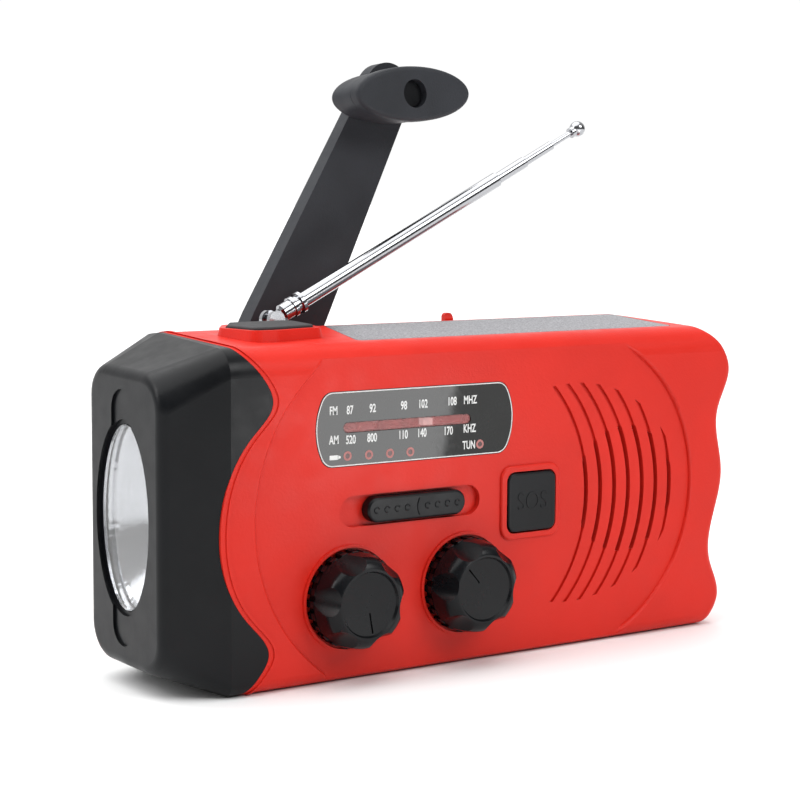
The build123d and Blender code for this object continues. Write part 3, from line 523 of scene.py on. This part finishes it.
def dial_marks():
    """The white scale, the cell symbol and the indicator rings, printed on the window."""
    face = WINDOW_FACE - INK_DEPTH
    place = facing_front(0, face, 0)
    meshes = []
    for text, x, z in SCALE_TEXT:
        meshes.append(text_mesh(text, SCALE_HEIGHT, facing_front(x * MM, face, z * MM)))
    for corners in (CELL_BODY, CELL_TIP):
        outline = [(x * MM, z * MM) for x, z in corners]
        meshes.append(flat_shape([outline], INK_DEPTH, place))
    piece("dial_scale", joined(meshes, "dial_scale"), WHITE, "housing", False)
    rings = []
    lenses = []
    for x, z in RINGS:
        spot = (x * MM, z * MM)
        edges = [circle(spot, RING_OUTER), circle(spot, RING_INNER)]
        rings.append(flat_shape(edges, INK_DEPTH, place))
        lenses.append(flat_shape([circle(spot, RING_INNER - 0.01 * MM)], 0.01 * MM, place))
    piece("indicator_rings", joined(rings, "indicator_rings"), PINK, "housing", False)
    piece("indicator_lenses", joined(lenses, "indicator_lenses"), SLOT_MATERIALS["indicator"],
          "housing", False)


# ---- slider and SOS button ----
MARKS_EACH_SIDE = 4
MARK_PITCH = 2.2 * MM
MARK_R = 0.52 * MM
RIB_R = 2.6 * MM


def slider_marks():
    """Raised open rings on each side of a curved rib."""
    meshes = []
    place = facing_front(0, SLIDER_FACE, 0)
    for side in (-1, 1):
        for n in range(MARKS_EACH_SIDE):
            spot = (SLIDER.x + side * (n + 1) * MARK_PITCH, SLIDER.z)
            meshes.append(wire(arc(spot, MARK_R, 20, 290, 12), 0.13 * MM, place))
    rib = arc((SLIDER.x + RIB_R, SLIDER.z), RIB_R, 145, 215, 12)
    meshes.append(wire(rib, 0.16 * MM, place))
    piece("slider_marks", joined(meshes, "slider_marks"), SLOT_MATERIALS["black_plastic"],
          "band_slider")


def sos_letters():
    place = facing_front(SOS.x, SOS_FACE, SOS.z)
    mesh = text_mesh("SOS", 3.4 * MM, place, 0.85, -0.02, 0.05 * MM, 0.05 * MM)
    piece("sos_letters", mesh, SLOT_MATERIALS["black_plastic"], "sos_button")


# ---- torch ----
LENS = centre("torch_lens")
LENS_RIM = 1.6 * MM  # hidden flange round the lens
LENS_HALF = size("torch_lens") / 2 - Vector((0, LENS_RIM, LENS_RIM))
BOWL_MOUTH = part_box("torch_lens")[1].x + 0.06 * MM
BOWL_DEPTH = 9.6 * MM
BAND_DEPTH = 2.1 * MM
BOWL_WIDE, BOWL_THROAT = 0.98, 0.22  # widths of the parabola, as shares of the lens
BOWL_STEPS = 180  # points round the bowl
BOWL_LEVELS = 26
FLUTES = 60


def oval_ring(x, share, steps, wave=0.0, count=0):
    """Points of an oval across X, scaled from the lens, with an optional ripple round it."""
    points = []
    for n in range(steps):
        angle = 2 * math.pi * n / steps
        ripple = 1 + wave * math.cos(count * angle)
        y = LENS.y + LENS_HALF.y * share * ripple * math.cos(angle)
        z = LENS.z + LENS_HALF.z * share * ripple * math.sin(angle)
        points.append((x, y, z))
    return points


def reflector_bowl():
    """A plated bowl: a fluted band under the lens's rim, then a smooth parabola to the throat."""
    rings = []
    for share, depth in ((1.04, 0.0), (1.03, 1.6), (0.99, 2.0)):
        rings.append(oval_ring(BOWL_MOUTH + depth * MM, share, BOWL_STEPS, 0.004, FLUTES))
    for n in range(BOWL_LEVELS + 1):
        share = BOWL_WIDE - (BOWL_WIDE - BOWL_THROAT) * n / BOWL_LEVELS
        fall = (BOWL_WIDE ** 2 - share ** 2) / (BOWL_WIDE ** 2 - BOWL_THROAT ** 2)
        x = BOWL_MOUTH + BAND_DEPTH + (BOWL_DEPTH - BAND_DEPTH) * fall
        rings.append(oval_ring(x, share, BOWL_STEPS))
    whole = bmesh.new()
    rows = [[whole.verts.new(p) for p in ring] for ring in rings]
    for near, far in zip(rows, rows[1:]):
        for n in range(BOWL_STEPS):
            whole.faces.new((near[n], near[n - 1], far[n - 1], far[n]))
    bmesh.ops.recalc_face_normals(whole, faces=whole.faces)
    mesh = bpy.data.meshes.new("reflector_bowl")
    whole.to_mesh(mesh)
    whole.free()
    bowl = piece("reflector_bowl", mesh, SLOT_MATERIALS["mirror_plastic"], "housing")
    shell = bowl.modifiers.new("wall", "SOLIDIFY")
    shell.thickness = 0.35 * MM
    shell.offset = 1.0
    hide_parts("reflector")


# ---- stage ----
FLOOR_SIZE = 12
LENS_LENGTH = 91.2
CAMERA_PLACE = (-0.21999, -0.31231, 0.08826)
CAMERA_TURN, CAMERA_DIP, CAMERA_ROLL = -34.45, 6.16, 0.35  # degrees


def floor():
    bpy.ops.mesh.primitive_plane_add(size=FLOOR_SIZE, location=(0, 0, -0.0002))
    plane = bpy.context.object
    plane.name = "floor"
    material = surface("floor_paper", (0.86, 0.86, 0.86), 0.8, 0.004, 0.3, 0.02, [(0.002, 0.00001)])
    plane.data.materials.append(material)


def area_light(name, location, target, width, height, power):
    data = bpy.data.lights.new(name, "AREA")
    data.shape = "RECTANGLE"
    data.size = width
    data.size_y = height
    data.energy = power
    made = bpy.data.objects.new(name, data)
    bpy.context.scene.collection.objects.link(made)
    made.location = location
    made.rotation_euler = (Vector(target) - Vector(location)).to_track_quat("-Z", "Y").to_euler()
    return made


def sky_light():
    """A broad soft light from straight above, which lights the whole floor evenly."""
    data = bpy.data.lights.new("sky", "SUN")
    data.energy = 2.9
    data.angle = math.radians(80)
    made = bpy.data.objects.new("sky", data)
    bpy.context.scene.collection.objects.link(made)
    made.rotation_euler = Vector((0.25, -0.15, -1)).to_track_quat("-Z", "Y").to_euler()


GLARE_PLACE = (0.0388, -0.12, 0.0315)  # a small card whose reflection covers the left of the dial
GLARE_LEAN = 12.5  # degrees
GLARE_POWER = 0.04


def lights():
    middle = (0, 0, 0.04)
    sky_light()
    area_light("front_key", (0.30, -0.70, 0.62), middle, 0.5, 0.4, 4.0)
    glare = area_light("dial_glare", GLARE_PLACE, middle, 0.06, 0.037, GLARE_POWER)
    lean = Matrix.Rotation(math.radians(GLARE_LEAN), 4, "Y")
    glare.matrix_world = Matrix.Translation(GLARE_PLACE) @ lean @ Matrix.Rotation(math.pi / 2, 4, "X")
    glare.visible_camera = False
    glare.visible_diffuse = False
    area_light("left_strip", (-0.9, 0.15, 0.55), middle, 0.3, 0.5, 2.0)


def surroundings():
    """A studio that is dark in front and bright overhead and behind; seen directly, it is white."""
    world = bpy.data.worlds.new("studio")
    bpy.context.scene.world = world
    world.use_nodes = True
    tree = world.node_tree
    background = tree.nodes["Background"]
    background.inputs["Strength"].default_value = 1.0
    place = node(tree, "ShaderNodeTexCoord")
    split = node(tree, "ShaderNodeSeparateXYZ")
    tree.links.new(place.outputs["Generated"], split.inputs["Vector"])
    overhead = spread(tree, split.outputs["Z"], 0.0, 0.35, 0.0, 0.8)
    behind = spread(tree, split.outputs["Y"], 0.04, 0.85, -0.3, 0.6)
    both = node(tree, "ShaderNodeMath", operation="ADD")
    tree.links.new(overhead, both.inputs[0])
    tree.links.new(behind, both.inputs[1])
    sight = node(tree, "ShaderNodeLightPath")
    seen = node(tree, "ShaderNodeMix", data_type="FLOAT")
    tree.links.new(sight.outputs["Is Camera Ray"], seen.inputs["Factor"])
    tree.links.new(both.outputs[0], seen.inputs["A"])
    seen.inputs["B"].default_value = 1.02
    tree.links.new(seen.outputs["Result"], background.inputs["Color"])


def camera():
    """Stands to the front left of the radio, a little above it, and looks slightly down."""
    data = bpy.data.cameras.new("camera")
    data.lens = LENS_LENGTH
    data.sensor_width = 36
    data.clip_start = 0.01
    data.clip_end = 50
    made = bpy.data.objects.new("camera", data)
    bpy.context.scene.collection.objects.link(made)
    turn = Matrix.Rotation(math.radians(CAMERA_TURN), 4, "Z")
    tip = Matrix.Rotation(math.radians(90 - CAMERA_DIP), 4, "X")
    roll = Matrix.Rotation(math.radians(CAMERA_ROLL), 4, "Z")
    made.matrix_world = Matrix.Translation(CAMERA_PLACE) @ turn @ tip @ roll
    bpy.context.scene.camera = made


paint_nodes()
dial_glass()
pointer_tip()
dial_marks()
slider_marks()
sos_letters()
reflector_bowl()
floor()
lights()
surroundings()
camera()
bpy.context.scene.view_settings.view_transform = "Standard"
